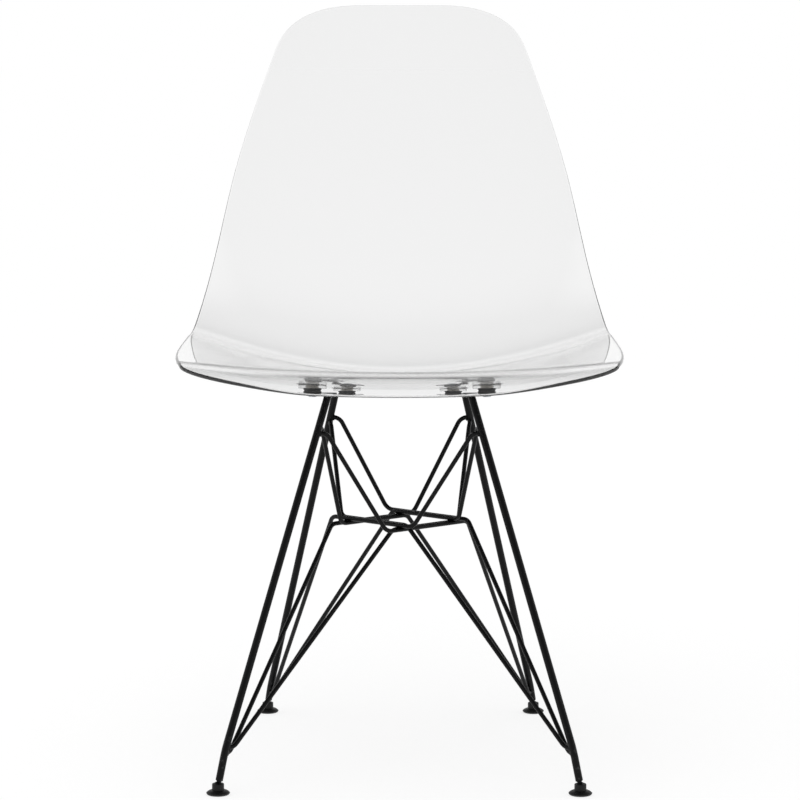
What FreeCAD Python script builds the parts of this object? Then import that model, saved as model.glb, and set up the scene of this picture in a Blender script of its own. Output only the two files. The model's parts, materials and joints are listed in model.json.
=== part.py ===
import FreeCAD, Part
import math
import os
from FreeCAD import Base, Placement, Rotation, Vector

# Clear moulded shell chair on a welded base of steel wire
# Millimetres, +Z up, the sitter faces -Y, and left is -X as seen from the front

# Shell seen from the side: corners (y, z) of the sitting surface and the radii that round them
CENTRE_CORNERS = [(-267.9, 415.3), (-257, 441.8), (186, 391), (218, 600), (266, 810.3)]
CENTRE_RADII = [30, 100, 900]
RIM_CORNERS = [(-237, 426.6), (-190, 443.5), (138, 452), (266, 810.3)]
RIM_RADII = [70, 100]
GUIDE_STEPS = 60
# Half width of the shell at shares of its length, from the front edge to the top of the back
HALF_WIDTHS = [(-0.03, 205), (0.2, 236), (0.32, 234.5), (0.43, 231), (0.5, 224.5), (0.6, 208.5),
               (0.72, 190), (0.86, 160.3), (1.03, 119.5)]
DISH_POWER = 2
GRID_ROWS = 29
GRID_COLUMNS = 13
SURFACE_OVERRUN = 0.03
LENGTH_OVERRUN = 0.008
OVERRUN_LENGTH = 12
# Outline of the shell: straight share of the front and top edges, length share of the corners,
# and how square the corners are, where 2 is an ellipse
FRONT_STRAIGHT = 0.4
FRONT_CORNER = 0.062
FRONT_POWER = 1.95
TOP_STRAIGHT = 0.3
TOP_CORNER = 0.078
TOP_POWER = 2.8
CORNER_STEPS = 6
STRAIGHT_STEPS = 2
SIDE_STEPS = 16
WALL = 4.5
RIM_ROUND = 1.8
OFFSET_TOLERANCE = 0.01

# Fixing points under the seat, at the middle of each plate's top face
SEAT_SLOPE = 6.5
FIXINGS = {"front": (92, -105, 406.7), "rear": (58.5, 40, 390.3)}
PLATE_THICKNESS = 3
PLATE_RADIUS = 11.5
PLATE_REACH = {"front": (-14.5, 0), "rear": (-7, 7)}
PLATE_HOLE = 3.3
PLATE_EDGE = 0.5
MOUNT_HEIGHT = 7.5
MOUNT_RADIUS = 9.6
MOUNT_WAIST = 8.8
MOUNT_LIP = 2
MOUNT_HOLE = 3.2
BOSS_RADIUS = 15
BOSS_TOP = {"front": 19.1, "rear": 17.9}
BOSS_FLARE = 2
BOSS_BITE = 2.1
INSERT_RADIUS = 4.5
INSERT_GROOVE = 4
INSERT_LENGTH = 7.5
INSERT_BAND = 2.5
THREAD_RADIUS = 3
SCREW_RADIUS = 2.95
SCREW_REACH = 13
SCREW_TIP = 0.8
HEAD_RADIUS = 5.2
HEAD_HEIGHT = 2.7
HEAD_CROWN = 1.3
SOCKET_FLATS = 4
SOCKET_DEPTH = 1.8
WASHER_RADIUS = 5.75
WASHER_THICKNESS = 1
SPRING_RADIUS = 5
SPRING_THICKNESS = 1.2
SPRING_SLIT = 0.9
SPRING_SLANT = 20

# Legs of round rod: middle of the ball in the foot, bend just above it, and a point near the top
LEG_RADIUS = 3.9
LEG_BEND = 60
LEG_POINTS = {
    "front": [(187, -231, 9), (179.5, -228, 46.5), (76.4, -104, 398)],
    "rear": [(153, 174.7, 9), (149.6, 172, 31), (72.5, 45, 379)],
}
LEG_OVERRUN = 30
LEG_CHAMFER = 0.6
BEAD_RADIUS = 5
BEAD_SKIRT = 2.4
BEAD_LENGTH = 5

# Brace wires: where the pairs cross in plan, and how far each wire runs past its crossings
WIRE_RADIUS = 2.4
WIRE_BEND = 12
DIAMOND_HEIGHT = 255.5
DIAMOND_SETBACK = -28
DIAMOND_HALF_DEPTH = 49.5
DIAMOND_HALF_WIDTH = 56
PAIR_STEP = 2.43
OVERRUNS = {"cross": (21, 21), "side": (12, 8)}
STUB_LENGTH = 10.5
# Wires meet the legs this far below the top of the fixing, and this far above the ball's middle
TOP_WELD_DROPS = {"front": {"cross": 45.2, "side": 39.7}, "rear": {"cross": 32.3, "side": 37.8}}
LOW_WELD_RISES = {"front": {"cross": 33.5, "side": 39}, "rear": {"cross": 15.5, "side": 21}}

# Ball stud screwed into each leg, and the plastic foot that snaps over the ball
BALL_RADIUS = 5
NECK_RADIUS = 2.5
NECK_LENGTH = 5.5
STUD_RADIUS = 2
STUD_LENGTH = 6.5
STUD_BORE = 2.05
STUD_BORE_DEPTH = 7.2
FOOT_SOLE = 9.5
FOOT_ROLL = (11.28, 0.62)
FOOT_WIDEST = (12.3, 2.2)
FOOT_DOME = (9.8, 4.2)
FOOT_WAIST = (6.25, 5)
CUP_SHOULDER = (6.25, 10.7)
CUP_ROUND = (5.95, 11.6)
CUP_LIP = (5.3, 11.9)
CUP_MOUTH = (4.9, 11.9)
CUP_THROAT = (4.5, 11.45)
SOCKET_RADIUS = 5.13

SIDES = {"left": -1, "right": 1}
ENDS = ("front", "rear")
OTHER_END = {"front": "rear", "rear": "front"}
X_AXIS = Vector(1, 0, 0)
Y_AXIS = Vector(0, 1, 0)
Z_AXIS = Vector(0, 0, 1)
ORIGIN = Vector(0, 0, 0)
DIAMOND_MIDDLE = Vector(0, DIAMOND_SETBACK, DIAMOND_HEIGHT)


def unit(vector):
    return Vector(vector).normalize()


def spread(low, high, steps):
    return [low + (high - low) * step / steps for step in range(steps + 1)]


def fused(solids):
    return solids[0].multiFuse(solids[1:]).removeSplitter()


def rounded_path(corners, radii):
    """Straight lines through the corners, each inner corner rounded by an arc."""
    edges = []
    last = corners[0]
    for before, corner, after, radius in zip(corners, corners[1:], corners[2:], radii):
        back, onward = unit(before - corner), unit(after - corner)
        half = back.getAngle(onward) / 2
        start = corner + back * (radius / math.tan(half))
        end = corner + onward * (radius / math.tan(half))
        middle = corner + unit(back + onward) * (radius / math.sin(half) - radius)
        edges.append(Part.makeLine(last, start))
        edges.append(Part.Arc(start, middle, end).toShape())
        last = end
    edges.append(Part.makeLine(last, corners[-1]))
    return Part.Wire(edges)


def rod(corners, radii, radius):
    """Round rod whose middle line follows the rounded path."""
    circle = Part.makeCircle(radius, corners[0], corners[1] - corners[0])
    return rounded_path(corners, radii).makePipe(Part.Face(Part.Wire(circle)))


def turned(outline, middle=ORIGIN):
    """Solid of revolution about the vertical axis, from edges given as two or three (r, z) points."""
    edges = []
    for points in outline:
        spots = [Vector(radius, 0, height) for radius, height in points]
        curve = Part.Arc(*spots) if len(spots) == 3 else Part.LineSegment(*spots)
        edges.append(curve.toShape())
    solid = Part.Face(Part.Wire(edges)).revolve(ORIGIN, Z_AXIS, 360)
    solid.translate(middle)
    return solid


def turned_steps(points):
    """Solid of revolution from one closed run of (r, z) points."""
    return turned(list(zip(points, points[1:] + points[:1])))


# Seat shell

def curve_by_share(shares, points):
    curve = Part.BSplineCurve()
    curve.interpolate(Points=points, Parameters=shares)
    return curve


def side_guide(corners, radii):
    """Side view curve measured by its share of length, 0 at the front edge and 1 at the top."""
    points = [Vector(0, y, z) for y, z in corners]
    points[0] = points[0] + unit(points[0] - points[1]) * OVERRUN_LENGTH
    points[-1] = points[-1] + unit(points[-1] - points[-2]) * OVERRUN_LENGTH
    path = rounded_path(points, radii)
    length = path.Length - 2 * OVERRUN_LENGTH
    shares = [(distance - OVERRUN_LENGTH) / length for distance in spread(0, path.Length, GUIDE_STEPS)]
    return curve_by_share(shares, path.discretize(Number=GUIDE_STEPS + 1))


CENTRE_GUIDE = side_guide(CENTRE_CORNERS, CENTRE_RADII)
RIM_GUIDE = side_guide(RIM_CORNERS, RIM_RADII)
WIDTH_GUIDE = curve_by_share([share for share, _ in HALF_WIDTHS],
                             [Vector(share, width, 0) for share, width in HALF_WIDTHS])


def shell_point(across, along):
    """Sitting surface: across runs from -1 to 1 between the rims, along from front edge to top."""
    centre, rim = CENTRE_GUIDE.value(along), RIM_GUIDE.value(along)
    point = centre + (rim - centre) * abs(across) ** DISH_POWER
    return Vector(across * WIDTH_GUIDE.value(along).y, point.y, point.z)


def shell_corner(straight, depth, power):
    """Quarter of a superellipse: pairs of (across, share of length in from the edge)."""
    run = []
    for turn in spread(0, math.pi / 2, CORNER_STEPS):
        across = straight + (1 - straight) * math.sin(turn) ** (2 / power)
        run.append((across, depth * (1 - math.cos(turn) ** (2 / power))))
    return run


def shell_outline():
    """Closed run of (across, along) pairs: a rectangle with long rounded corners."""
    front = shell_corner(FRONT_STRAIGHT, FRONT_CORNER, FRONT_POWER)
    top = shell_corner(TOP_STRAIGHT, TOP_CORNER, TOP_POWER)
    right = [(across, 0) for across in spread(0, FRONT_STRAIGHT, STRAIGHT_STEPS)] + front[1:]
    right += [(1, along) for along in spread(FRONT_CORNER, 1 - TOP_CORNER, SIDE_STEPS)[1:]]
    right += [(across, 1 - inset) for across, inset in top[-2::-1]]
    right += [(across, 1) for across in spread(TOP_STRAIGHT, 0, STRAIGHT_STEPS)[1:]]
    left = [(-across, along) for across, along in right[-2:0:-1]]
    return right + left


def sitting_face():
    """Doubly curved face trimmed to the outline."""
    rows = spread(-LENGTH_OVERRUN, 1 + LENGTH_OVERRUN, GRID_ROWS - 1)
    columns = spread(1 + SURFACE_OVERRUN, -1 - SURFACE_OVERRUN, GRID_COLUMNS - 1)
    surface = Part.BSplineSurface()
    surface.interpolate([[shell_point(across, along) for across in columns] for along in rows])
    trim = Part.Geom2d.BSplineCurve2d()
    spots = [surface.parameter(shell_point(across, along)) for across, along in shell_outline()]
    trim.interpolate([Base.Vector2d(*spot) for spot in spots], True)
    face = Part.Face(surface, Part.Wire(trim.toShape(surface)))
    face.validate()
    return face


def fixing_placement(end, side):
    """Local frame of a fixing: middle of the plate's top face, +Z square to the plate."""
    x, y, z = FIXINGS[end]
    return Placement(Vector(side * x, y, z), Rotation(X_AXIS, -SEAT_SLOPE))


def at_fixings(build):
    """One solid at each of the four fixings."""
    solids = []
    for end in ENDS:
        for side in SIDES.values():
            solid = build(end, side)
            solid.Placement = fixing_placement(end, side)
            solids.append(solid)
    return solids


def boss(end, side):
    """Round boss whose root flares into the shell."""
    wide, top = BOSS_RADIUS + BOSS_FLARE, BOSS_TOP[end]
    root = top - BOSS_BITE
    bend = BOSS_FLARE * (1 - math.sqrt(0.5))
    return turned([
        [(0, MOUNT_HEIGHT), (BOSS_RADIUS, MOUNT_HEIGHT)],
        [(BOSS_RADIUS, MOUNT_HEIGHT), (BOSS_RADIUS, root - BOSS_FLARE)],
        [(BOSS_RADIUS, root - BOSS_FLARE), (BOSS_RADIUS + bend, root - bend), (wide, root)],
        [(wide, root), (wide, top)],
        [(wide, top), (0, top)],
        [(0, top), (0, MOUNT_HEIGHT)],
    ])


def insert_body(end, side):
    """Outside of a moulded-in insert, with a groove that the plastic fills."""
    low, high = MOUNT_HEIGHT, MOUNT_HEIGHT + INSERT_LENGTH
    return turned_steps([(0, low), (INSERT_RADIUS, low), (INSERT_RADIUS, low + INSERT_BAND),
                         (INSERT_GROOVE, low + INSERT_BAND), (INSERT_GROOVE, high - INSERT_BAND),
                         (INSERT_RADIUS, high - INSERT_BAND), (INSERT_RADIUS, high), (0, high)])


def shell_insert(end, side):
    bore = Part.makeCylinder(THREAD_RADIUS, INSERT_LENGTH, Vector(0, 0, MOUNT_HEIGHT))
    return insert_body(end, side).cut(bore)


def seat_shell():
    wall = sitting_face().makeOffsetShape(-WALL, OFFSET_TOLERANCE, fill=True)
    rims = [edge for edge in wall.Edges if edge.isClosed()]
    wall = wall.makeFillet(RIM_ROUND, rims)
    shell = fused([wall] + at_fixings(boss))
    return shell.cut(Part.makeCompound(at_fixings(insert_body)))


# Fixings between the shell and the base

def mount_plate(end, side):
    """Flat plate with round ends and one screw hole."""
    inner, outer = (side * reach for reach in PLATE_REACH[end])
    low = Vector(0, 0, -PLATE_THICKNESS)
    ends = [Part.makeCylinder(PLATE_RADIUS, PLATE_THICKNESS, low + X_AXIS * x) for x in (inner, outer)]
    middle = Part.makeBox(abs(outer - inner), 2 * PLATE_RADIUS, PLATE_THICKNESS,
                          Vector(min(inner, outer), -PLATE_RADIUS, -PLATE_THICKNESS))
    plate = fused([middle] + ends)
    flats = [edge for edge in plate.Edges if edge.BoundBox.ZLength < PLATE_EDGE]
    plate = plate.makeChamfer(PLATE_EDGE, flats)
    plate = plate.cut(Part.makeCylinder(PLATE_HOLE, PLATE_THICKNESS, low))
    plate.Placement = fixing_placement(end, side)
    return plate


def shock_mount(end, side):
    """Rubber block with a waist between two lips."""
    top = MOUNT_HEIGHT
    return turned_steps([(MOUNT_HOLE, 0), (MOUNT_RADIUS, 0), (MOUNT_RADIUS, MOUNT_LIP),
                         (MOUNT_WAIST, MOUNT_LIP + MOUNT_RADIUS - MOUNT_WAIST),
                         (MOUNT_WAIST, top - MOUNT_LIP - MOUNT_RADIUS + MOUNT_WAIST),
                         (MOUNT_RADIUS, top - MOUNT_LIP), (MOUNT_RADIUS, top), (MOUNT_HOLE, top)])


def mount_washer(end, side):
    low = -PLATE_THICKNESS - WASHER_THICKNESS
    disc = Part.makeCylinder(WASHER_RADIUS, WASHER_THICKNESS, Vector(0, 0, low))
    return disc.cut(Part.makeCylinder(MOUNT_HOLE, WASHER_THICKNESS, Vector(0, 0, low)))


def spring_washer(end, side):
    """Ring with a slanted slit."""
    low = -PLATE_THICKNESS - WASHER_THICKNESS - SPRING_THICKNESS
    ring = Part.makeCylinder(SPRING_RADIUS, SPRING_THICKNESS, Vector(0, 0, low))
    ring = ring.cut(Part.makeCylinder(MOUNT_HOLE, SPRING_THICKNESS, Vector(0, 0, low)))
    slit = Part.makeBox(2 * SPRING_RADIUS, SPRING_SLIT, 4 * SPRING_THICKNESS,
                        Vector(0, -SPRING_SLIT / 2, -2 * SPRING_THICKNESS))
    slit.rotate(ORIGIN, X_AXIS, SPRING_SLANT)
    slit.translate(Vector(0, 0, low + SPRING_THICKNESS / 2))
    return ring.cut(slit)


def mount_screw(end, side):
    """Button-head screw that points up, with a six-sided socket in its head."""
    seat = -PLATE_THICKNESS - WASHER_THICKNESS - SPRING_THICKNESS
    low = seat - HEAD_HEIGHT
    crown = (HEAD_RADIUS - HEAD_CROWN / 2, low + HEAD_CROWN / 2)
    screw = turned([
        [(0, low), (HEAD_RADIUS - HEAD_CROWN, low)],
        [(HEAD_RADIUS - HEAD_CROWN, low), crown, (HEAD_RADIUS, seat - HEAD_CROWN)],
        [(HEAD_RADIUS, seat - HEAD_CROWN), (HEAD_RADIUS, seat)],
        [(HEAD_RADIUS, seat), (SCREW_RADIUS, seat)],
        [(SCREW_RADIUS, seat), (SCREW_RADIUS, SCREW_REACH - SCREW_TIP)],
        [(SCREW_RADIUS, SCREW_REACH - SCREW_TIP), (SCREW_RADIUS - SCREW_TIP, SCREW_REACH)],
        [(SCREW_RADIUS - SCREW_TIP, SCREW_REACH), (0, SCREW_REACH)],
        [(0, SCREW_REACH), (0, low)],
    ])
    reach = SOCKET_FLATS / math.sqrt(3)
    turns = spread(0, 2 * math.pi, 6)
    corners = [Vector(reach * math.cos(turn), reach * math.sin(turn), low) for turn in turns]
    hexagon = Part.Face(Part.makePolygon(corners))
    return screw.cut(hexagon.extrude(Z_AXIS * SOCKET_DEPTH))


# Legs

def leg_corners(end, side):
    return [Vector(side * x, y, z) for x, y, z in LEG_POINTS[end]]


def leg_point(end, side, height):
    """Point on the leg's middle line at a height above the floor."""
    ball, kink, top = leg_corners(end, side)
    low, high = (ball, kink) if height < kink.z else (kink, top)
    return low + (high - low) * ((height - low.z) / (high.z - low.z))


def leg(end, side):
    ball, kink, top = leg_corners(end, side)
    axis, rise = unit(kink - ball), unit(top - kink)
    tip = ball + axis * NECK_LENGTH
    shank = rod([tip + axis * LEG_CHAMFER, kink, top + rise * LEG_OVERRUN], [LEG_BEND], LEG_RADIUS)
    point = Part.makeCone(LEG_RADIUS - LEG_CHAMFER, LEG_RADIUS, LEG_CHAMFER, tip, axis)
    plate = fixing_placement(end, side)
    square = plate.Rotation.multVec(Z_AXIS)
    under = plate.Base - square * PLATE_THICKNESS
    meet = top + rise * ((under - top).dot(square) / rise.dot(square))
    skirt = Part.makeCylinder(BEAD_RADIUS, 2 * BEAD_SKIRT, meet - rise * BEAD_SKIRT, rise)
    taper = Part.makeCone(BEAD_RADIUS, LEG_RADIUS, BEAD_LENGTH - BEAD_SKIRT,
                          meet - rise * BEAD_SKIRT, -rise)
    above = Part.makeBox(4 * LEG_OVERRUN, 4 * LEG_OVERRUN, 4 * LEG_OVERRUN,
                         Vector(-2 * LEG_OVERRUN, -2 * LEG_OVERRUN, -PLATE_THICKNESS))
    above.Placement = plate
    bore = Part.makeCylinder(STUD_BORE, STUD_BORE_DEPTH, tip, axis)
    return fused([shank, point, skirt, taper]).cut(above).cut(bore)


# Brace wires

def crossing(end=None, side=0):
    """Where wires cross at a corner of the diamond, at its middle height."""
    if end:
        return DIAMOND_MIDDLE + Y_AXIS * (DIAMOND_HALF_DEPTH if end == "rear" else -DIAMOND_HALF_DEPTH)
    return DIAMOND_MIDDLE + X_AXIS * (side * DIAMOND_HALF_WIDTH)


def brace(end, side, kind):
    """Wire from the top of one leg, past two crossings, to the foot of the leg diagonally across."""
    far_end, far_side = OTHER_END[end], -side
    if kind == "cross":
        first, second = crossing(end), crossing(side=far_side)
        upper = (end == "front") == (far_side < 0)
    else:
        first, second = crossing(side=side), crossing(far_end)
        upper = (far_end == "front") == (side < 0)
    run = unit(second - first)
    outward = unit((first + second) / 2 - DIAMOND_MIDDLE)
    outward = unit(outward - run * outward.dot(run))
    shift = outward * (PAIR_STEP if kind == "cross" else -PAIR_STEP)
    shift = shift + Z_AXIS * (PAIR_STEP if upper else -PAIR_STEP)
    before, after = OVERRUNS[kind]
    enter = first - run * before + shift
    leave = second + run * after + shift
    start = leg_point(end, side, FIXINGS[end][2] - TOP_WELD_DROPS[end][kind])
    finish = leg_point(far_end, far_side, LEG_POINTS[far_end][0][2] + LOW_WELD_RISES[far_end][kind])
    corners = [start, start + level(enter - start), enter, leave, finish + level(leave - finish), finish]
    return rod(corners, [WIRE_BEND] * 4, WIRE_RADIUS)


def level(vector):
    """Stub of a wire: flat, and pointing the way the vector does in plan."""
    return unit(Vector(vector.x, vector.y, 0)) * STUB_LENGTH


# Feet

def ball_stud(end, side):
    ball, kink, _ = leg_corners(end, side)
    axis = unit(kink - ball)
    return fused([Part.makeSphere(BALL_RADIUS, ball),
                  Part.makeCylinder(NECK_RADIUS, NECK_LENGTH, ball, axis),
                  Part.makeCylinder(STUD_RADIUS, NECK_LENGTH + STUD_LENGTH, ball, axis)])


def foot(end, side):
    """Domed foot with a snap-in cup around the ball."""
    ball = leg_corners(end, side)[0]
    body = turned([
        [(0, 0), (FOOT_SOLE, 0)],
        [(FOOT_SOLE, 0), FOOT_ROLL, FOOT_WIDEST],
        [FOOT_WIDEST, FOOT_DOME, FOOT_WAIST],
        [FOOT_WAIST, CUP_SHOULDER],
        [CUP_SHOULDER, CUP_ROUND, CUP_LIP],
        [CUP_LIP, CUP_MOUTH],
        [CUP_MOUTH, CUP_THROAT],
        [CUP_THROAT, (0, CUP_THROAT[1])],
        [(0, CUP_THROAT[1]), (0, 0)],
    ], Vector(ball.x, ball.y, 0))
    return body.cut(Part.makeSphere(SOCKET_RADIUS, ball))


# Assembly

parts = {
    "seat_shell": seat_shell(),
    "shell_inserts": Part.makeCompound(at_fixings(shell_insert)),
    "shock_mounts": Part.makeCompound(at_fixings(shock_mount)),
    "mount_washers": Part.makeCompound(at_fixings(mount_washer)),
    "spring_washers": Part.makeCompound(at_fixings(spring_washer)),
    "mount_screws": Part.makeCompound(at_fixings(mount_screw)),
}
for end in ENDS:
    for name, side in SIDES.items():
        parts[f"mount_plate_{end}_{name}"] = mount_plate(end, side)
        parts[f"leg_{end}_{name}"] = leg(end, side)
        parts[f"ball_stud_{end}_{name}"] = ball_stud(end, side)
        parts[f"foot_{end}_{name}"] = foot(end, side)
for end in ENDS:
    for name, side in SIDES.items():
        other = "left" if name == "right" else "right"
        held = [parts[f"leg_{end}_{name}"], parts[f"leg_{OTHER_END[end]}_{other}"]]
        for kind in OVERRUNS:
            parts[f"brace_{end}_{name}_{kind}"] = brace(end, side, kind).cut(held)

os.makedirs("parts", exist_ok=True)
for name, shape in parts.items():
    shape.exportStep(f"parts/{name}.step")
    print(name, len(shape.Solids), shape.isValid(), round(shape.Volume))
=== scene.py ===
# %% [markdown]
# # A clear shell chair on a black wire base
# The chair has a shell moulded in one piece from clear polycarbonate, and a base welded from steel rod
# and wire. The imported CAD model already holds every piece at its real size, so this lesson gives the
# pieces their finish, lays out the shell again as a finer net, adds the welds, and builds the studio
# that a clear object needs.
# The frame is loaded first, because the materials, the lamps and the camera are placed around it.

# %% Load the frame
import json
import math

import bpy
from mathutils import Matrix, Vector


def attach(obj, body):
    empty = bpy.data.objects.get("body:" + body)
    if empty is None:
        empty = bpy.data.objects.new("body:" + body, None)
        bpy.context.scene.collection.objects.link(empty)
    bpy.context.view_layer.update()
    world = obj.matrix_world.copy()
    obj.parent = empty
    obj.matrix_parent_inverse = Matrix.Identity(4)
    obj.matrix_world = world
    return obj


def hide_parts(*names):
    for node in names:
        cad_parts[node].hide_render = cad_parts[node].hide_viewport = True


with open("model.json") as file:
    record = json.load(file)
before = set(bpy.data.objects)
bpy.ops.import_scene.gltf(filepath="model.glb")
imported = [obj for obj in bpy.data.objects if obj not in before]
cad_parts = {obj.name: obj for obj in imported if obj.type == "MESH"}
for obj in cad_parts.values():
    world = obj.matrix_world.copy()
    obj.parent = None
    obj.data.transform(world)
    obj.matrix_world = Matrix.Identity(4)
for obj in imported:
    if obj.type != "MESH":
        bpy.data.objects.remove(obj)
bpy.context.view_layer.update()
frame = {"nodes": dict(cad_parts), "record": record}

MM = 0.001

# %% [markdown]
# ## Helpers for materials
# Every finish below is built from nodes around the Principled shader. Colours are written as sRGB hex
# values, as on a paint chart, and one function turns them into the linear values that the renderer
# adds up. A second small function adds a node, so that each material reads as a short list.

# %% Colours and nodes
def linear(code):
    """A colour such as "#8A8D8F" as linear red, green, blue and alpha."""
    channels = [int(code[start:start + 2], 16) / 255 for start in (1, 3, 5)]
    return (*[c / 12.92 if c <= 0.04045 else ((c + 0.055) / 1.055) ** 2.4 for c in channels], 1)


def add(owner, kind, inputs=None, **settings):
    """Adds a node. Settings are its own fields, and inputs are values or sockets for its sockets."""
    made = owner.node_tree.nodes.new(kind)
    for name, value in settings.items():
        setattr(made, name, value)
    for socket, value in (inputs or {}).items():
        if isinstance(value, bpy.types.NodeSocket):
            owner.node_tree.links.new(value, made.inputs[socket])
        else:
            made.inputs[socket].default_value = value
    return made


def finish_of(name):
    """A new material with an empty node tree."""
    material = bpy.data.materials.new(name)
    material.use_nodes = True
    material.node_tree.nodes.clear()
    return material


print("mid grey in linear light:", round(linear("#808080")[0], 3))

# %% [markdown]
# ## Clear polycarbonate
# The shell is injection moulded in a polished steel mould, so its skin is glossy, with a faint swell
# left by the melt as it froze. Polycarbonate bends light a little more than glass does, with an index
# of 1.585. It could be drawn as a thin see-through sheet, but the shell has a real wall, so it is drawn
# as solid plastic: light bends into it, runs along inside it, and comes out darker at the rim.
# A sitter's clothes leave fine rub marks that dull the gloss in patches.

# %% Polycarbonate
def moulded_polycarbonate():
    material = finish_of("injection_moulded_clear_polycarbonate")
    place = add(material, "ShaderNodeTexCoord").outputs["Object"]
    # The melt leaves a swell about 90 mm long and far less than a tenth of a millimetre high
    swell = add(material, "ShaderNodeTexNoise", {"Vector": place, "Scale": 1 / (90 * MM), "Detail": 0.0})
    skin = add(material, "ShaderNodeBump", {"Height": swell.outputs["Fac"], "Strength": 0.1,
                                             "Distance": 0.3 * MM})
    # Rub marks are hairlines in life, drawn here as soft 12 mm patches of duller gloss
    rub = add(material, "ShaderNodeTexNoise", {"Vector": place, "Scale": 1 / (12 * MM), "Detail": 5.0})
    gloss = add(material, "ShaderNodeMapRange", {"Value": rub.outputs["Fac"], "From Min": 0.45,
                                                  "From Max": 0.8, "To Min": 0.0, "To Max": 0.02})
    shader = add(material, "ShaderNodeBsdfPrincipled", {
        "Base Color": linear("#F8F8F8"), "Roughness": gloss.outputs["Result"], "IOR": 1.585,
        "Transmission Weight": 1.0, "Normal": skin.outputs["Normal"]})
    # The two skins of a wall hold back about 6% of the light and the plastic between them 1%, while a
    # view along a hand's breadth of plastic loses a quarter
    body = add(material, "ShaderNodeVolumeAbsorption", {"Color": linear("#E6E6E6"), "Density": 15.0})
    add(material, "ShaderNodeOutputMaterial", {"Surface": shader.outputs["BSDF"],
                                                "Volume": body.outputs["Volume"]})
    return material


polycarbonate = moulded_polycarbonate()
print(polycarbonate.name, "has", len(polycarbonate.node_tree.nodes), "nodes")

# %% [markdown]
# ## Black powder coat
# Legs, braces and plates are mild steel, coated together after welding with black powder that melts
# into a skin. The skin has a fine orange peel and a satin gloss, a little uneven where it ran thin.
# It is a paint, so the shader is not metallic. Near the floor, shoes and brooms leave greyer scuffs.

# %% Powder coat
def powder_coat():
    material = finish_of("black_powder_coated_steel")
    place = add(material, "ShaderNodeTexCoord").outputs["Object"]
    # Orange peel is about 0.5 mm across, drawn at 1.2 mm so that it shows on a 7.8 mm rod
    peel = add(material, "ShaderNodeTexNoise", {"Vector": place, "Scale": 1 / (1.2 * MM), "Detail": 2.0})
    skin = add(material, "ShaderNodeBump", {"Height": peel.outputs["Fac"], "Strength": 0.3,
                                             "Distance": 0.06 * MM})
    cloud = add(material, "ShaderNodeTexNoise", {"Vector": place, "Scale": 1 / (25 * MM), "Detail": 4.0})
    tone = add(material, "ShaderNodeMix", {"Factor": cloud.outputs["Fac"], "A": linear("#050506"),
                                            "B": linear("#0D0D0E")}, data_type="RGBA")
    height = add(material, "ShaderNodeSeparateXYZ", {"Vector": place}).outputs["Z"]
    low = add(material, "ShaderNodeMapRange", {"Value": height, "From Min": 10 * MM, "From Max": 75 * MM,
                                                "To Min": 0.5, "To Max": 0.0})
    streak = add(material, "ShaderNodeTexNoise", {"Vector": place, "Scale": 1 / (5 * MM), "Detail": 6.0})
    mark = add(material, "ShaderNodeMapRange", {"Value": streak.outputs["Fac"], "From Min": 0.58,
                                                 "From Max": 0.7})
    scuff = add(material, "ShaderNodeMath", {0: low.outputs["Result"], 1: mark.outputs["Result"]},
                operation="MULTIPLY")
    paint = add(material, "ShaderNodeMix", {"Factor": scuff.outputs[0], "A": tone.outputs["Result"],
                                             "B": linear("#5A5A5C")}, data_type="RGBA")
    gloss = add(material, "ShaderNodeMapRange", {"Value": cloud.outputs["Fac"], "To Min": 0.3,
                                                  "To Max": 0.45})
    # The coat stays near black in an all-white room, so it mirrors less than a plain gloss paint would
    shader = add(material, "ShaderNodeBsdfPrincipled", {
        "Base Color": paint.outputs["Result"], "Roughness": gloss.outputs["Result"],
        "Specular IOR Level": 0.15, "Normal": skin.outputs["Normal"]})
    add(material, "ShaderNodeOutputMaterial", {"Surface": shader.outputs["BSDF"]})
    return material


coat = powder_coat()
print(coat.name, "has", len(coat.node_tree.nodes), "nodes")

# %% [markdown]
# ## Zinc plate
# Screws, washers and ball studs are turned or rolled from steel and plated with zinc. The plate is a
# pale, slightly blue metal. Crystals in it give a soft mottle, and the barrel that the parts tumble in
# leaves short scratches, so the gloss changes from spot to spot. The ball studs next to the black feet
# had one more bath, a black passivate, which keeps the mottle and the scratches and takes the shine.

# %% Zinc
def zinc_plate(name, light, dark, smoothest, roughest):
    material = finish_of(name)
    place = add(material, "ShaderNodeTexCoord").outputs["Object"]
    crystal = add(material, "ShaderNodeTexVoronoi", {"Vector": place, "Scale": 1 / (1.5 * MM)})
    tone = add(material, "ShaderNodeMix", {"Factor": crystal.outputs["Distance"], "A": linear(light),
                                            "B": linear(dark)}, data_type="RGBA")
    # Tumbling scratches are hairlines, drawn 0.8 mm wide by stretching the noise along one way
    along = add(material, "ShaderNodeMapping", {"Vector": place, "Scale": (1.0, 0.15, 1.0)})
    scratch = add(material, "ShaderNodeTexNoise", {"Vector": along.outputs["Vector"],
                                                    "Scale": 1 / (0.8 * MM), "Detail": 3.0})
    gloss = add(material, "ShaderNodeMapRange", {"Value": scratch.outputs["Fac"], "To Min": smoothest,
                                                  "To Max": roughest})
    skin = add(material, "ShaderNodeBump", {"Height": scratch.outputs["Fac"], "Strength": 0.15,
                                             "Distance": 0.05 * MM})
    shader = add(material, "ShaderNodeBsdfPrincipled", {
        "Base Color": tone.outputs["Result"], "Metallic": 1.0, "Roughness": gloss.outputs["Result"],
        "Normal": skin.outputs["Normal"]})
    add(material, "ShaderNodeOutputMaterial", {"Surface": shader.outputs["BSDF"]})
    return material


zinc = zinc_plate("blue_zinc_plated_steel", "#C3C7CB", "#9EA3A8", 0.2, 0.42)
black_zinc = zinc_plate("black_passivated_zinc_plate", "#2A2B2D", "#1B1B1D", 0.35, 0.55)
print(zinc.name, "and", black_zinc.name, "have", len(zinc.node_tree.nodes), "nodes each")

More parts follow.
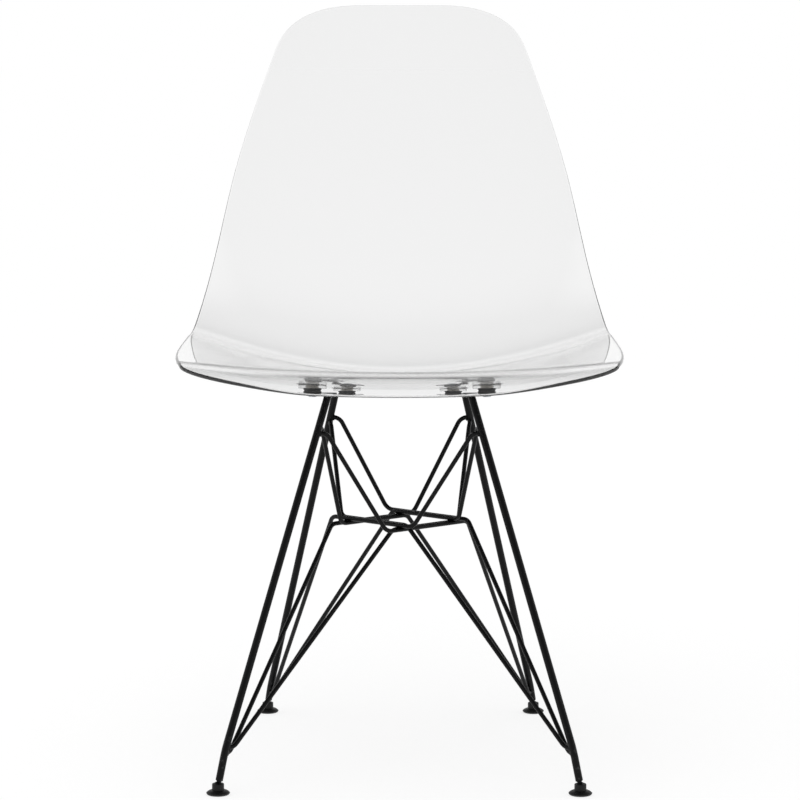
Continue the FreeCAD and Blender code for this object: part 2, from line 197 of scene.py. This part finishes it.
# %% [markdown]
# ## Nickel-plated brass
# The threaded inserts are turned from brass bar, knurled so that the plastic grips them, and plated
# with nickel, which keeps yellow metal from showing through a clear part. Nickel is a warm, slightly
# dark grey metal. The inserts are seen only through the clear bosses, so the knurl is drawn as two
# crossing sets of fine ridges in the bump, which is enough at this size.

# %% Nickel
def nickel_plate():
    material = finish_of("turned_knurled_and_nickel_plated_brass")
    place = add(material, "ShaderNodeTexCoord").outputs["Object"]
    # A knurl of 1 mm pitch: ridges that lean left and ridges that lean right, added together
    left = add(material, "ShaderNodeMapping", {"Vector": place, "Rotation": (0, math.radians(30), 0)})
    right = add(material, "ShaderNodeMapping", {"Vector": place, "Rotation": (0, math.radians(-30), 0)})
    ridges = [add(material, "ShaderNodeTexWave", {"Vector": lean.outputs["Vector"], "Scale": 0.314 / MM})
              for lean in (left, right)]
    knurl = add(material, "ShaderNodeMath", {0: ridges[0].outputs["Fac"], 1: ridges[1].outputs["Fac"]},
                operation="ADD")
    skin = add(material, "ShaderNodeBump", {"Height": knurl.outputs[0], "Strength": 0.5,
                                             "Distance": 0.2 * MM})
    tarnish = add(material, "ShaderNodeTexNoise", {"Vector": place, "Scale": 1 / (3 * MM), "Detail": 4.0})
    tone = add(material, "ShaderNodeMix", {"Factor": tarnish.outputs["Fac"], "A": linear("#A9A6A0"),
                                            "B": linear("#86837D")}, data_type="RGBA")
    gloss = add(material, "ShaderNodeMapRange", {"Value": tarnish.outputs["Fac"], "To Min": 0.25,
                                                  "To Max": 0.4})
    shader = add(material, "ShaderNodeBsdfPrincipled", {
        "Base Color": tone.outputs["Result"], "Metallic": 1.0, "Roughness": gloss.outputs["Result"],
        "Normal": skin.outputs["Normal"]})
    add(material, "ShaderNodeOutputMaterial", {"Surface": shader.outputs["BSDF"]})
    return material


nickel = nickel_plate()
print(nickel.name, "has", len(nickel.node_tree.nodes), "nodes")

# %% [markdown]
# ## Moulded rubber
# The blocks between shell and plates are carbon-filled rubber, pressed in a sand-blasted mould. Rubber
# scatters light at its surface, so it is matt and a soft dark grey, never quite black, with a fine
# grain and a trace of pale bloom.

# %% Rubber
def moulded_rubber():
    material = finish_of("moulded_black_rubber")
    place = add(material, "ShaderNodeTexCoord").outputs["Object"]
    # Blasted grain is 0.2 mm, drawn at 0.7 mm so that it shows on a 19 mm block
    grain = add(material, "ShaderNodeTexNoise", {"Vector": place, "Scale": 1 / (0.7 * MM), "Detail": 2.0})
    skin = add(material, "ShaderNodeBump", {"Height": grain.outputs["Fac"], "Strength": 0.5,
                                             "Distance": 0.1 * MM})
    bloom = add(material, "ShaderNodeTexNoise", {"Vector": place, "Scale": 1 / (6 * MM), "Detail": 5.0})
    tone = add(material, "ShaderNodeMix", {"Factor": bloom.outputs["Fac"], "A": linear("#161617"),
                                            "B": linear("#343435")}, data_type="RGBA")
    dull = add(material, "ShaderNodeMapRange", {"Value": bloom.outputs["Fac"], "To Min": 0.6,
                                                 "To Max": 0.85})
    shader = add(material, "ShaderNodeBsdfPrincipled", {
        "Base Color": tone.outputs["Result"], "Roughness": dull.outputs["Result"], "IOR": 1.52,
        "Normal": skin.outputs["Normal"]})
    add(material, "ShaderNodeOutputMaterial", {"Surface": shader.outputs["BSDF"]})
    return material


rubber = moulded_rubber()
print(rubber.name, "has", len(rubber.node_tree.nodes), "nodes")

# %% [markdown]
# ## Moulded nylon
# The feet are black nylon, moulded against spark-eroded steel, which leaves an even fine texture and a
# low sheen. The edge of the sole slides on floors, so there the black is rubbed grey.

# %% Nylon
def moulded_nylon():
    material = finish_of("moulded_black_nylon")
    place = add(material, "ShaderNodeTexCoord").outputs["Object"]
    # Spark texture is 0.15 mm, drawn at 0.6 mm so that it shows on a 25 mm foot
    spark = add(material, "ShaderNodeTexVoronoi", {"Vector": place, "Scale": 1 / (0.6 * MM)})
    skin = add(material, "ShaderNodeBump", {"Height": spark.outputs["Distance"], "Strength": 0.3,
                                             "Distance": 0.05 * MM})
    cloud = add(material, "ShaderNodeTexNoise", {"Vector": place, "Scale": 1 / (4 * MM), "Detail": 5.0})
    tone = add(material, "ShaderNodeMix", {"Factor": cloud.outputs["Fac"], "A": linear("#080809"),
                                            "B": linear("#131313")}, data_type="RGBA")
    height = add(material, "ShaderNodeSeparateXYZ", {"Vector": place}).outputs["Z"]
    edge = add(material, "ShaderNodeMapRange", {"Value": height, "From Min": 0.2 * MM,
                                                 "From Max": 2.5 * MM, "To Min": 0.8, "To Max": 0.0})
    worn = add(material, "ShaderNodeMath", {0: edge.outputs["Result"], 1: cloud.outputs["Fac"]},
               operation="MULTIPLY")
    colour = add(material, "ShaderNodeMix", {"Factor": worn.outputs[0], "A": tone.outputs["Result"],
                                              "B": linear("#4A4A4A")}, data_type="RGBA")
    sheen = add(material, "ShaderNodeMapRange", {"Value": cloud.outputs["Fac"], "To Min": 0.4,
                                                  "To Max": 0.58})
    shader = add(material, "ShaderNodeBsdfPrincipled", {
        "Base Color": colour.outputs["Result"], "Roughness": sheen.outputs["Result"], "IOR": 1.53,
        "Specular IOR Level": 0.25, "Normal": skin.outputs["Normal"]})
    add(material, "ShaderNodeOutputMaterial", {"Surface": shader.outputs["BSDF"]})
    return material


nylon = moulded_nylon()
print(nylon.name, "has", len(nylon.node_tree.nodes), "nodes")

# %% [markdown]
# ## Dress the pieces
# The record of the part says which stock each piece is made from. A short table turns the name of the
# stock into the finish above, so no piece can be left plain. The ball studs are of the same stock as the
# screws, and take the black plate instead of the blue one.

# %% One finish for each stock
finishes = {"clear_polycarbonate": polycarbonate, "black_coated_steel": coat, "zinc_plated_steel": zinc,
            "nickel_plated_brass": nickel, "rubber": rubber, "black_nylon": nylon}
stock = {part["node"]: part["material_slot"] for part in frame["record"]["subparts"]}
for name, piece in frame["nodes"].items():
    piece.data.materials.clear()
    piece.data.materials.append(black_zinc if name.startswith("ball_stud") else finishes[stock[name]])
print("dressed:", {finish: list(stock.values()).count(finish) for finish in finishes})

# %% [markdown]
# ## A finer net for the shell
# The CAD shell is exact, but its mesh comes as long triangles, up to 66 mm, and each of them would show
# as a streak in clear plastic. Smoothing that mesh would keep the streaks. So the shell is laid out again
# from the values it was designed with, as an even net of points about 5 mm apart. First come the curves:
# two side views, the middle line and the rim, are straight runs joined by arcs, and a table gives the
# half width at shares of the length.

# %% Curves of the shell
import numpy as np


def spline(knots, values):
    """A smooth curve through the values. Its first two spans are one cubic, and so are its last two."""
    knots, values = np.asarray(knots, float), np.asarray(values, float)
    gaps, count = np.diff(knots), len(knots)
    slopes = np.diff(values, axis=0) / gaps[:, None]
    system, right = np.zeros((count, count)), np.zeros_like(values)
    for row in range(1, count - 1):
        before, after = gaps[row - 1], gaps[row]
        system[row, row - 1:row + 2] = after, 2 * (before + after), before
        right[row] = 3 * (after * slopes[row - 1] + before * slopes[row])
    for end, near, far in ((0, 0, 1), (-1, -1, -2)):
        first, second = gaps[near], gaps[far]
        system[end, near], system[end, far] = second, first + second
        right[end] = (((3 * first + 2 * second) * second * slopes[near] + first ** 2 * slopes[far])
                      / (first + second))
    lean = np.linalg.solve(system, right)

    def at(share):
        share = np.asarray(share, float)
        span = np.clip(np.searchsorted(knots, share) - 1, 0, count - 2)
        width, step = gaps[span], ((share - knots[span]) / gaps[span])[..., None]
        start, end = values[span], values[span + 1]
        out, back = lean[span] * width[..., None], lean[span + 1] * width[..., None]
        return ((2 * step**3 - 3 * step**2 + 1) * start + (step**3 - 2 * step**2 + step) * out
                + (3 * step**2 - 2 * step**3) * end + (step**3 - step**2) * back)
    return at


def unit(vector):
    return vector / np.linalg.norm(vector)


def side_view(corners, radii, overrun=12.0, arc_points=40, even_points=61):
    """Side view as a curve over its share of length, 0 at the front edge and 1 at the top."""
    spots = [np.array(corner, float) for corner in corners]
    spots[0] = spots[0] + unit(spots[0] - spots[1]) * overrun
    spots[-1] = spots[-1] + unit(spots[-1] - spots[-2]) * overrun
    path = [spots[0]]
    for before, corner, after, radius in zip(spots, spots[1:], spots[2:], radii):
        back, onward = unit(before - corner), unit(after - corner)
        half = math.acos(float(back @ onward)) / 2
        hub = corner + unit(back + onward) * (radius / math.sin(half))
        start, end = corner + back * (radius / math.tan(half)), corner + onward * (radius / math.tan(half))
        swing = math.pi - 2 * half
        first, last = (start - hub) / radius, (end - hub) / radius
        path += [hub + radius * (math.sin((1 - turn) * swing) * first + math.sin(turn * swing) * last)
                 / math.sin(swing) for turn in np.linspace(0, 1, arc_points)]
    path = np.array(path + [spots[-1]])
    run = np.concatenate([[0], np.cumsum(np.linalg.norm(np.diff(path, axis=0), axis=1))])
    stops = np.linspace(0, run[-1], even_points)
    even = np.column_stack([np.interp(stops, run, path[:, axis]) for axis in (0, 1)])
    return spline((stops - overrun) / (run[-1] - 2 * overrun), even)


middle_view = side_view([(-267.9, 415.3), (-257, 441.8), (186, 391), (218, 600), (266, 810.3)],
                        [30, 100, 900])
rim_view = side_view([(-237, 426.6), (-190, 443.5), (138, 452), (266, 810.3)], [70, 100])
half_width = spline([-0.03, 0.2, 0.32, 0.43, 0.5, 0.6, 0.72, 0.86, 1.03],
                    [[205], [236], [234.5], [231], [224.5], [208.5], [190], [160.3], [119.5]])
# The CAD surface runs through 29 cross sections, so the same 29 are joined here
shares = np.linspace(-0.008, 1.008, 29)
sections = spline(shares, np.column_stack([half_width(shares), middle_view(shares), rim_view(shares)]))


def skin_points(across, along):
    """Sitting surface in mm: across is -1 to 1 between the rims, along 0 to 1 from front edge to top."""
    width, middle_y, middle_z, rim_y, rim_z = np.moveaxis(sections(along), -1, 0)
    dish = across ** 2
    return np.stack([across * width, middle_y + (rim_y - middle_y) * dish,
                     middle_z + (rim_z - middle_z) * dish], -1)


def skin_slopes(across, along, step=1e-4):
    """The two directions in the skin, and the upward normal."""
    over = (skin_points(across + step, along) - skin_points(across - step, along)) / (2 * step)
    up = (skin_points(across, along + step) - skin_points(across, along - step)) / (2 * step)
    normal = np.cross(over, up)
    return over, up, normal / np.linalg.norm(normal, axis=-1, keepdims=True)


middle_line = skin_points(np.zeros(400), np.linspace(0, 1, 400))
print("length of the shell in mm:", round(np.linalg.norm(np.diff(middle_line, axis=0), axis=1).sum()))

# %% [markdown]
# The outline is a rectangle in those two shares, with superellipse corners. The net follows it: each
# row ends on the outline, and rows crowd where the corners turn. The rim is a rounded edge of its own,
# so the net stops 2.6 mm short of the outline all round, and the way in from the outline is measured
# square to it in the skin.

# %% Outline of the shell
wall, rim_round, net_stop = 4.5, 1.8, 2.6
columns, side_cells = 88, 160


def corner_rows(straight, depth, power, steps=28):
    """A corner as reaches across and shares in from the edge, 2 being an ellipse."""
    turn = np.linspace(0, math.pi / 2, steps + 1)
    across, along = np.sin(turn) ** (2 / power), np.cos(turn) ** (2 / power)
    return straight + (1 - straight) * across, depth * (1 - along)


front_reach, front_rows = corner_rows(0.4, 0.062, 1.95)
top_reach, top_rows = corner_rows(0.3, 0.078, 2.8)
side_rows = np.linspace(front_rows[-1], 1 - top_rows[-1], side_cells + 1)[1:-1]
alongs = np.concatenate([front_rows, side_rows, 1 - top_rows[::-1]])
reaches = np.concatenate([front_reach, np.ones(len(side_rows)), top_reach[::-1]])
rows = len(alongs) - 1
cells = np.arange((rows + 1) * (columns + 1)).reshape(rows + 1, columns + 1)
loop = np.concatenate([cells[0, :-1], cells[:-1, -1], cells[-1, :0:-1], cells[:0:-1, 0]])
across_net = reaches[:, None] * np.linspace(-1, 1, columns + 1)
along_net = np.repeat(alongs[:, None], columns + 1, axis=1)
edge_across, edge_along = across_net.ravel()[loop], along_net.ravel()[loop]
edge = skin_points(edge_across, edge_along)
edge_over, edge_up, edge_normal = skin_slopes(edge_across, edge_along)
ahead = np.roll(edge, -1, axis=0) - np.roll(edge, 1, axis=0)
outward = np.cross(ahead, edge_normal)
outward /= np.linalg.norm(outward, axis=1, keepdims=True)


def edge_moved_in(distance):
    """Shares across and along of the outline moved in by a distance in mm."""
    slopes = np.stack([edge_over, edge_up], -1)
    turned = np.swapaxes(slopes, 1, 2)
    shift = np.linalg.solve(turned @ slopes, turned @ (-distance * outward)[..., None])[..., 0]
    return edge_across + shift[:, 0], edge_along + shift[:, 1]


def net_between(values):
    """Spreads values given round the edge of the net over its inside, straight along each way."""
    net = np.zeros((rows + 1) * (columns + 1))
    net[loop] = values
    net = net.reshape(rows + 1, columns + 1)
    over, up = np.linspace(0, 1, columns + 1)[None, :], np.linspace(0, 1, rows + 1)[:, None]
    sides = (1 - over) * net[:, :1] + over * net[:, -1:]
    ends = (1 - up) * net[:1] + up * net[-1:]
    corners = ((1 - up) * ((1 - over) * net[0, 0] + over * net[0, -1])
               + up * ((1 - over) * net[-1, 0] + over * net[-1, -1]))
    return sides + ends - corners


print("net of the shell:", columns, "by", rows, "cells, outline of", len(loop), "points")

# %% [markdown]
# The top skin, the under skin a wall lower, and the rings of the rounded rim between them make one
# closed body. Its points are exact, so smooth shading is all it needs.

# %% Body of the shell
net_across, net_along = [net_between(share) for share in edge_moved_in(net_stop)]
top_skin = skin_points(net_across, net_along).reshape(-1, 3)
under_skin = top_skin - wall * skin_slopes(net_across, net_along)[2].reshape(-1, 3)
lip_shares = edge_moved_in(rim_round)
lip_top = skin_points(*lip_shares)
lip_under = lip_top - wall * skin_slopes(*lip_shares)[2]
turns = np.radians([22.5, 45, 67.5, 90])
profile = [(rim_round * math.sin(turn), rim_round * (1 - math.cos(turn))) for turn in turns]
profile += [(out, wall - down) for out, down in profile[::-1]]
rim_rings = [lip_top] + [edge + (out - rim_round) * outward - down * edge_normal for out, down in profile]
rim_rings += [lip_under]

skin_count = len(top_skin)
points = np.concatenate([top_skin, under_skin] + rim_rings) * MM
ring_cells = [loop] + [2 * skin_count + ring * len(loop) + np.arange(len(loop))
                       for ring in range(len(rim_rings))] + [skin_count + loop]
a, b, c, d = cells[:-1, :-1], cells[:-1, 1:], cells[1:, 1:], cells[1:, :-1]
top_faces = np.stack([a, b, c, d], -1).reshape(-1, 4)
faces = [top_faces, skin_count + top_faces[:, ::-1]]
for near, far in zip(ring_cells, ring_cells[1:]):
    faces.append(np.stack([near, far, np.roll(far, -1), np.roll(near, -1)], -1))
shell_mesh = bpy.data.meshes.new("shell")
shell_mesh.from_pydata(points.tolist(), [], np.concatenate(faces).tolist())
shell_mesh.update()
shell = bpy.data.objects.new("shell", shell_mesh)
bpy.context.collection.objects.link(shell)
print("shell:", len(shell_mesh.vertices), "points,", len(shell_mesh.polygons), "faces")

# %% [markdown]
# Four round bosses hang under the seat and hold the screws. In the mould they are one body with the
# wall, so they are joined to it with a boolean, which leaves no skin between them: a leftover skin would
# show as a silver disc inside the plastic. Each boss is a turned profile that flares where it meets the
# wall. The threaded inserts sit in tight contact, as moulded-in metal does, so no gap is left round them.

# %% Bosses
def turned_body(name, profile, steps=64):
    """A closed body of revolution about +Z, from (radius, height) in mm, first and last on the axis."""
    spots, faces = [], []
    for radius, height in profile[1:-1]:
        spots += [(radius * math.cos(math.tau * step / steps) * MM,
                   radius * math.sin(math.tau * step / steps) * MM, height * MM) for step in range(steps)]
    for ring in range(len(profile) - 3):
        low, high = ring * steps, (ring + 1) * steps
        faces += [(low + step, low + (step + 1) % steps, high + (step + 1) % steps, high + step)
                  for step in range(steps)]
    faces += [tuple(range(steps))[::-1], tuple(range(len(spots) - steps, len(spots)))]
    mesh = bpy.data.meshes.new(name)
    mesh.from_pydata(spots, [], faces)
    mesh.update()
    return mesh


seat_slope = 6.5


def seat_of_fixing(x, y, z):
    """Where a fixing sits: the middle of its plate's top, tilted with the seat."""
    return Matrix.Translation(Vector((x, y, z)) * MM) @ Matrix.Rotation(math.radians(-seat_slope), 4, "X")


# In mm: a boss starts on its rubber block, and bites into the wall by 2.1 below its top
boss_radius, boss_foot, foot_chamfer, flare, bite = 15.0, 7.5, 0.4, 2.0, 2.1
fixings = {(92, -105, 406.7): 19.1, (58.5, 40, 390.3): 17.9}
bosses = []
for (x, y, z), top in fixings.items():
    root = top - bite
    bends = [(boss_radius + flare * (1 - math.cos(turn)), root - flare + flare * math.sin(turn))
             for turn in np.radians([0, 18, 36, 54, 72, 90])]
    profile = [(0, boss_foot), (boss_radius - foot_chamfer, boss_foot),
               (boss_radius, boss_foot + foot_chamfer), *bends, (boss_radius + flare, top), (0, top)]
    for side in (-1, 1):
        boss = bpy.data.objects.new("boss", turned_body("boss", profile))
        boss.matrix_world = seat_of_fixing(side * x, y, z)
        bpy.context.collection.objects.link(boss)
        bosses.append(boss)
        union = shell.modifiers.new("join_boss", "BOOLEAN")
        union.operation, union.solver, union.object = "UNION", "EXACT", boss
print("bosses:", len(bosses))

# %% [markdown]
# The joined body takes the place of the CAD shell. Edges sharper than 40 degrees, such as the roots of
# the bosses, stay crisp, and everything else is shaded smooth.

# %% Join and put in place
bpy.context.view_layer.update()
joined = bpy.data.meshes.new_from_object(shell.evaluated_get(bpy.context.evaluated_depsgraph_get()))
shell.modifiers.clear()
shell.data = joined
for boss in bosses:
    bpy.data.objects.remove(boss)
joined.shade_smooth()
joined.set_sharp_from_angle(angle=math.radians(40))
joined.materials.clear()
joined.materials.append(polycarbonate)
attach(shell, "chair")
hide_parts("seat_shell")
print("joined shell:", len(joined.vertices), "points,", len(joined.polygons), "faces")

# %% [markdown]
# ## Weld beads
# Each brace wire ends at a leg, where a welder runs a small ring of molten metal round it. Ripples in
# the ring show where the torch paused, and the powder coat covers it all. A torus would float off the
# round leg, so each ring is laid point by point: it goes round the wire, and follows the curve of the
# leg. Where the wires cross they are pressed and fused by a spot welder, which leaves no bead.

# %% Where wires meet legs
from mathutils.bvhtree import BVHTree

leg_radius, wire_radius, touching_gap = 3.9 * MM, 2.4 * MM, 0.7 * MM


def middle_at(piece, height):
    """Middle of an upright rod at a height, from the edges of its mesh that pass that level."""
    spots, corners = [], [corner.co for corner in piece.data.vertices]
    for edge in piece.data.edges:
        low, high = sorted((corners[edge.vertices[0]], corners[edge.vertices[1]]), key=lambda spot: spot.z)
        if low.z <= height < high.z:
            spots.append(low.lerp(high, (height - low.z) / (high.z - low.z)))
    return sum(spots, Vector()) / len(spots)


joints = []
for end, far_end in (("front", "rear"), ("rear", "front")):
    for side, far_side in (("left", "right"), ("right", "left")):
        for kind in ("cross", "side"):
            wire = frame["nodes"][f"brace_{end}_{side}_{kind}"]
            for leg_name in (f"leg_{end}_{side}", f"leg_{far_end}_{far_side}"):
                leg = frame["nodes"][leg_name]
                skin = BVHTree.FromPolygons([corner.co for corner in leg.data.vertices],
                                            [face.vertices for face in leg.data.polygons])
                touching = [corner.co for corner in wire.data.vertices
                            if skin.find_nearest(corner.co)[3] < touching_gap]
                end_of_wire = sum(touching, Vector()) / len(touching)
                middle = middle_at(leg, end_of_wire.z)
                joints.append((middle, (end_of_wire - middle).normalized()))
print("welds between wires and legs:", len(joints))

# %% Beads
weld_points, weld_faces = [], []
around, across = 28, 8
ring = wire_radius + 0.3 * MM
bead = 0.85
for number, (middle, along) in enumerate(joints):
    level = along.cross(Vector((0, 0, 1))).normalized()
    upright = level.cross(along)
    first = len(weld_points)
    for step in range(around):
        turn = math.tau * step / around
        away = level * math.cos(turn) + upright * math.sin(turn)
        reach_out = math.sqrt(leg_radius ** 2 - (ring * math.cos(turn)) ** 2)
        # Seven swells and three slower ones round the ring, set off by the joint's number so none match
        ripple = (bead + 0.15 * math.sin(7 * turn + number) + 0.08 * math.sin(3 * turn + 2 * number)) * MM
        for bend in range(across):
            swing = math.tau * bend / across
            weld_points.append(middle + along * (reach_out + ripple * math.sin(swing))
                               + away * (ring + ripple * math.cos(swing)))
    for step in range(around):
        near, far = first + step * across, first + (step + 1) % around * across
        weld_faces += [(near + bend, near + (bend + 1) % across, far + (bend + 1) % across, far + bend)
                       for bend in range(across)]
weld_mesh = bpy.data.meshes.new("weld_beads")
weld_mesh.from_pydata(weld_points, [], weld_faces)
weld_mesh.shade_smooth()
weld_mesh.materials.append(coat)
welds = bpy.data.objects.new("weld_beads", weld_mesh)
bpy.context.collection.objects.link(welds)
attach(welds, "chair")

# %% [markdown]
# ## The studio floor
# The chair stands on white paper, wide enough that its edge is never seen. The paper has to look white
# and still take a soft shadow. So what the camera sees, and what is seen in the gloss or through the
# plastic, is part glowing paper, at a strength of 1, and part plain paper that the shadow darkens.

# %% Floor
floor_mesh = bpy.data.meshes.new("studio_floor")
reach = 40
floor_mesh.from_pydata([(-reach, -reach, 0), (reach, -reach, 0), (reach, reach, 0), (-reach, reach, 0)], [],
                       [(0, 1, 2, 3)])
floor = bpy.data.objects.new("studio_floor", floor_mesh)
bpy.context.collection.objects.link(floor)

paper = finish_of("white_backdrop_paper")
fibre = add(paper, "ShaderNodeBsdfDiffuse", {"Color": linear("#FFFFFF")})
glow = add(paper, "ShaderNodeEmission", {"Color": linear("#FFFFFF"), "Strength": 1.0})
# Three quarters glow for the rays that show the paper, and none for those that light the chair
rays = add(paper, "ShaderNodeLightPath").outputs
direct = add(paper, "ShaderNodeMath", {0: rays["Is Camera Ray"], 1: rays["Is Transmission Ray"]},
             operation="MAXIMUM")
seen = add(paper, "ShaderNodeMath", {0: direct.outputs[0], 1: rays["Is Glossy Ray"]}, operation="MAXIMUM")
share = add(paper, "ShaderNodeMath", {0: seen.outputs[0], 1: 0.75}, operation="MULTIPLY")
sheet = add(paper, "ShaderNodeMixShader", {0: share.outputs[0], 1: fibre.outputs[0], 2: glow.outputs[0]})
add(paper, "ShaderNodeOutputMaterial", {"Surface": sheet.outputs[0]})
floor_mesh.materials.append(paper)
print("floor:", 2 * reach, "m square")

# %% [markdown]
# ## The air around it
# The rest of the studio is plain white too. It lights the chair from all sides at a strength of 1, at
# which a colour renders about as it is written, and it is the white that is seen round the chair and
# through it.

# %% World
world = bpy.data.worlds.new("white_studio")
world.use_nodes = True
world.node_tree.nodes.clear()
bpy.context.scene.world = world
air = add(world, "ShaderNodeBackground", {"Color": linear("#FFFFFF"), "Strength": 1.0})
add(world, "ShaderNodeOutputWorld", {"Surface": air.outputs[0]})
print("light of the room:", air.inputs["Strength"].default_value)

# %% [markdown]
# ## A dark hood for the gloss
# Clear plastic in an all-white room can't be seen: it shows only what it mirrors. So a photographer
# hangs black cloth behind and above the camera. The shell then mirrors a dark room where it faces the
# camera, and the white backdrop where it turns up and away, which draws the curved line across the
# seat. The hood here is one bent sheet that only mirrored rays and rays bent by the plastic can meet,
# so it takes no light from the chair and stays out of every view.

# %% Hood
hood_radius, hood_half_width, hood_steps = 6.0, 6.0, 24
back_edge = math.radians(180 - 32)
bends = [back_edge * step / hood_steps for step in range(hood_steps + 1)]
hood_points = [(side * hood_half_width, -hood_radius * math.cos(bend), hood_radius * math.sin(bend))
               for bend in bends for side in (-1, 1)]
hood_faces = [(2 * step, 2 * step + 1, 2 * step + 3, 2 * step + 2) for step in range(hood_steps)]
hood_mesh = bpy.data.meshes.new("black_cloth_hood")
hood_mesh.from_pydata(hood_points, [], hood_faces)
hood = bpy.data.objects.new("black_cloth_hood", hood_mesh)
bpy.context.collection.objects.link(hood)
cloth = finish_of("black_cloth")
place = add(cloth, "ShaderNodeSeparateXYZ", {
    "Vector": add(cloth, "ShaderNodeTexCoord").outputs["Object"]}).outputs
# Light from the white floor reaches the cloth in front, and fades out towards the top
front = add(cloth, "ShaderNodeMapRange", {"Value": place["Y"], "From Min": -5.7, "From Max": -1.5,
                                           "To Min": 0.5, "To Max": 0.02})
# At the sides and behind, the cloth ends in a soft edge, so no hard line is mirrored
aside = add(cloth, "ShaderNodeMath", {0: place["X"]}, operation="ABSOLUTE")
side_fade = add(cloth, "ShaderNodeMapRange", {"Value": aside.outputs[0], "From Min": 3.2, "From Max": 6.0},
                interpolation_type="SMOOTHSTEP")
back_fade = add(cloth, "ShaderNodeMapRange", {"Value": place["Y"], "From Min": 4.1, "From Max": 5.1},
                interpolation_type="SMOOTHSTEP")
ends = add(cloth, "ShaderNodeMath", {0: side_fade.outputs["Result"], 1: back_fade.outputs["Result"]},
           operation="MAXIMUM")
lit = add(cloth, "ShaderNodeMath", {0: ends.outputs[0], 1: front.outputs["Result"]}, operation="MAXIMUM")
add(cloth, "ShaderNodeOutputMaterial", {"Surface": add(cloth, "ShaderNodeEmission", {
    "Color": linear("#FFFFFF"), "Strength": lit.outputs[0]}).outputs[0]})
hood_mesh.materials.append(cloth)
for kind in ("camera", "diffuse", "volume_scatter", "shadow"):
    setattr(hood, f"visible_{kind}", False)
print("hood:", hood_radius, "m away, open for", round(math.degrees(math.pi - back_edge)), "degrees behind")

# %% [markdown]
# ## Lamp
# One wide soft box hangs above the chair, a little to the front and the left. It is weak, and only
# gives the shadow a side. It is kept out of mirrored rays and of rays bent by the plastic, because a
# lamp's square shape would show on the shell.

# %% Soft box
box_light = bpy.data.lights.new("soft_box", "AREA")
box_light.shape = "RECTANGLE"
box_light.size, box_light.size_y = 2.4, 1.8
box_light.energy = 10
soft_box = bpy.data.objects.new("soft_box", box_light)
bpy.context.collection.objects.link(soft_box)
soft_box.location = (-0.9, -1.0, 2.8)
soft_box.rotation_euler = (Vector((0, 0, 0.4)) - soft_box.location).to_track_quat("-Z", "Y").to_euler()
soft_box.visible_glossy = soft_box.visible_transmission = False
print("soft box:", box_light.energy, "W,", box_light.size, "by", box_light.size_y, "m")

# %% [markdown]
# ## Camera
# The photograph was taken from about 3.6 m away and 0.8 m up, with a long lens, so the chair hardly
# narrows with distance. The camera stands there, a fifth of a degree off the chair's middle line, and
# aims at the middle of the chair.

# %% Camera
camera = bpy.data.objects.new("camera", bpy.data.cameras.new("camera"))
bpy.context.collection.objects.link(camera)
camera.data.lens = 149.93
camera.data.sensor_width = 36
askew = Matrix.Rotation(math.radians(0.2), 4, "Z")
camera.location = askew @ Vector((0.00023, -3.6, 0.8068))
aim = Vector((0, 0, 0.38317))
camera.rotation_mode = "QUATERNION"
camera.rotation_quaternion = (aim - camera.location).to_track_quat("-Z", "Y")
bpy.context.scene.camera = camera
bpy.context.scene.view_settings.view_transform = "Standard"
print("camera to middle of chair:", round((aim - camera.location).length, 3), "m")
